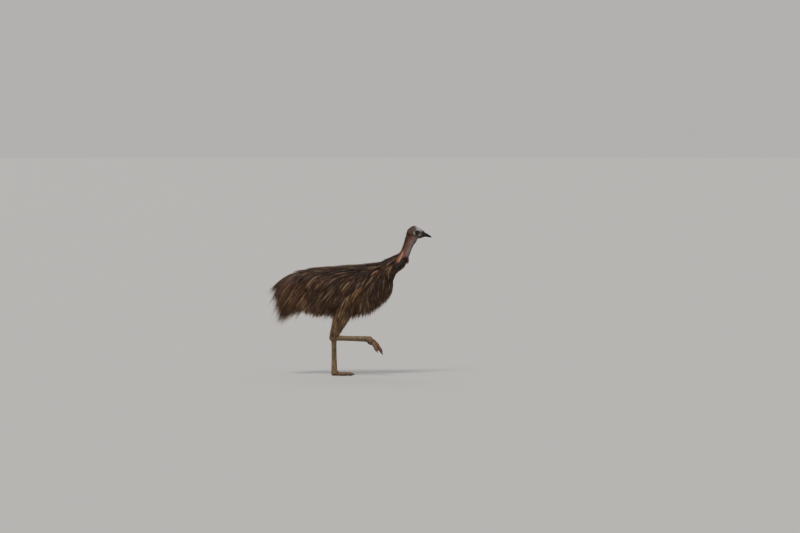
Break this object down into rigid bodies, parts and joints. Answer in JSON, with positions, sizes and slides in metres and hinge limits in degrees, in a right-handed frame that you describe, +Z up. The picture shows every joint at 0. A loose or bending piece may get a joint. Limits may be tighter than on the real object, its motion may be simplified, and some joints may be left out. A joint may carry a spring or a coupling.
{
  "type": "standing cassowary model",
  "caption": "Life-size still model of a young brown cassowary in mid-stride: shaggy body, bare blue-grey neck, low casque, one leg standing and one leg lifted.",
  "frame": {"origin": "on the floor, in the middle of the flat under the sole pad of the left foot, which carries the bird", "axes": "+X forward, the way the bird faces; +Y to the bird's left; +Z up"},
  "size_m": [1.3228, 0.3623, 1.1878],
  "materials": {
    "head_skin": "bare skin, dark grey-brown, blue-grey on the cheek and throat",
    "neck_skin": "bare skin, blue-grey in front and reddish brown on the nape",
    "wattle": "thin wrinkled skin, dull dark red",
    "plumage": "coarse hair-like feathers over flesh, dark brown with tan-brown streaks",
    "casque": "dull horn, pale grey in front and brown behind",
    "horn": "black horn with a soft shine",
    "eye": "wet dark brown",
    "quill": "bare feather shafts, pale tan",
    "leg_scales": "scaled skin, olive brown, with darker joins",
    "claw": "dark horn"
  },
  "bodies": {
    "root": {"head": "head_skin", "casque": "casque", "bill_upper": "horn", "bill_lower": "horn", "eye_left": "eye", "eye_right": "eye", "neck_upper": "neck_skin", "neck_lower": "neck_skin", "wattle_left": "wattle", "wattle_right": "wattle", "torso": "plumage", "tail": "plumage", "wing_left": "quill", "wing_right": "quill", "shank_left": "plumage", "shank_right": "plumage", "tarsus_left": "leg_scales", "tarsus_right": "leg_scales", "foot_left": "leg_scales", "foot_right": "leg_scales", "toe_inner_left": "leg_scales", "toe_middle_left": "leg_scales", "toe_outer_left": "leg_scales", "toe_inner_right": "leg_scales", "toe_middle_right": "leg_scales", "toe_outer_right": "leg_scales", "claw_inner_left": "claw", "claw_middle_left": "claw", "claw_outer_left": "claw", "claw_inner_right": "claw", "claw_middle_right": "claw", "claw_outer_right": "claw"}
  },
  "joints": []
}
